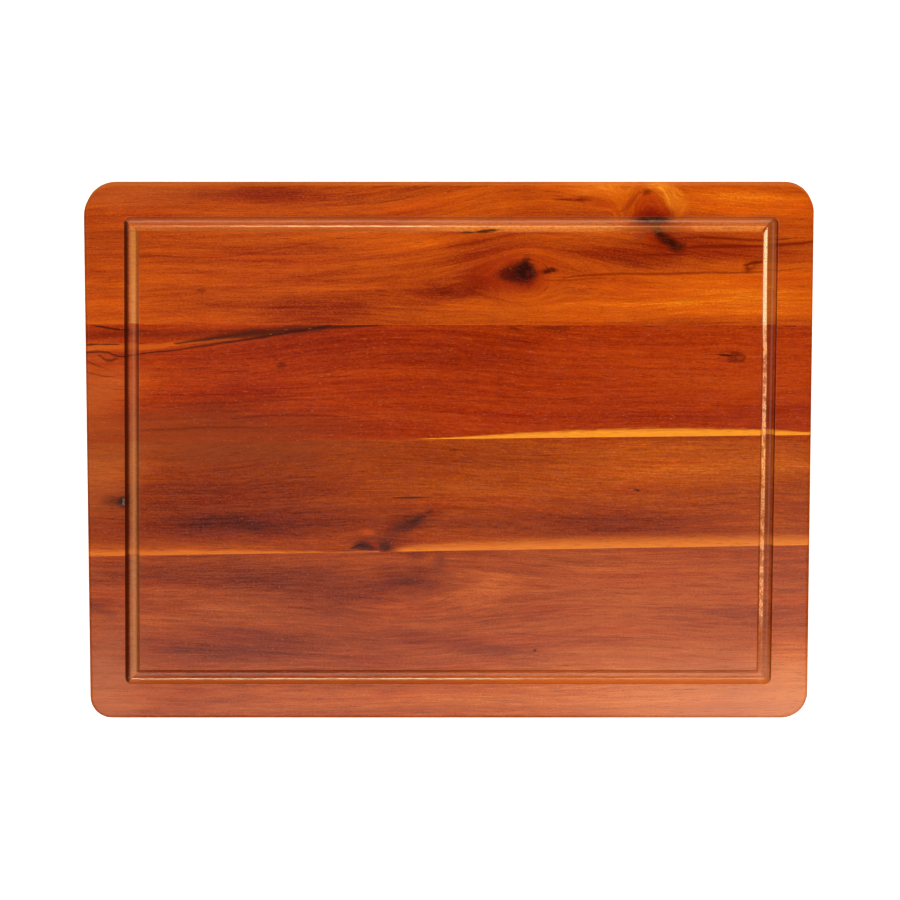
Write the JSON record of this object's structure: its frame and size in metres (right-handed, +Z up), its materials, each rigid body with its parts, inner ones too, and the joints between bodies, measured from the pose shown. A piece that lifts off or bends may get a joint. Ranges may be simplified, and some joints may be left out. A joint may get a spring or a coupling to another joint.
{
  "type": "steak board",
  "caption": "Rectangular hardwood board of glued staves with rounded corners and a juice groove routed round its flat carving face.",
  "frame": {"origin": "middle of the flat underside", "axes": "+X along the length, with the grain; +Y to the rear long side; +Z up out of the carving face"},
  "size_m": [0.4, 0.3, 0.016],
  "materials": {
    "wood_back": "oiled orange hardwood with a tear-shaped knot, low gloss",
    "wood_mid_back": "oiled dark red hardwood with a black heart streak and a sapwood edge, low gloss",
    "wood_mid_front": "oiled red-brown hardwood with a sapwood edge, low gloss",
    "wood_front": "oiled pinkish brown hardwood with an oval figure, low gloss"
  },
  "bodies": {
    "root": {"stave_back": "wood_back", "stave_mid_back": "wood_mid_back", "stave_mid_front": "wood_mid_front", "stave_front": "wood_front"}
  },
  "joints": []
}
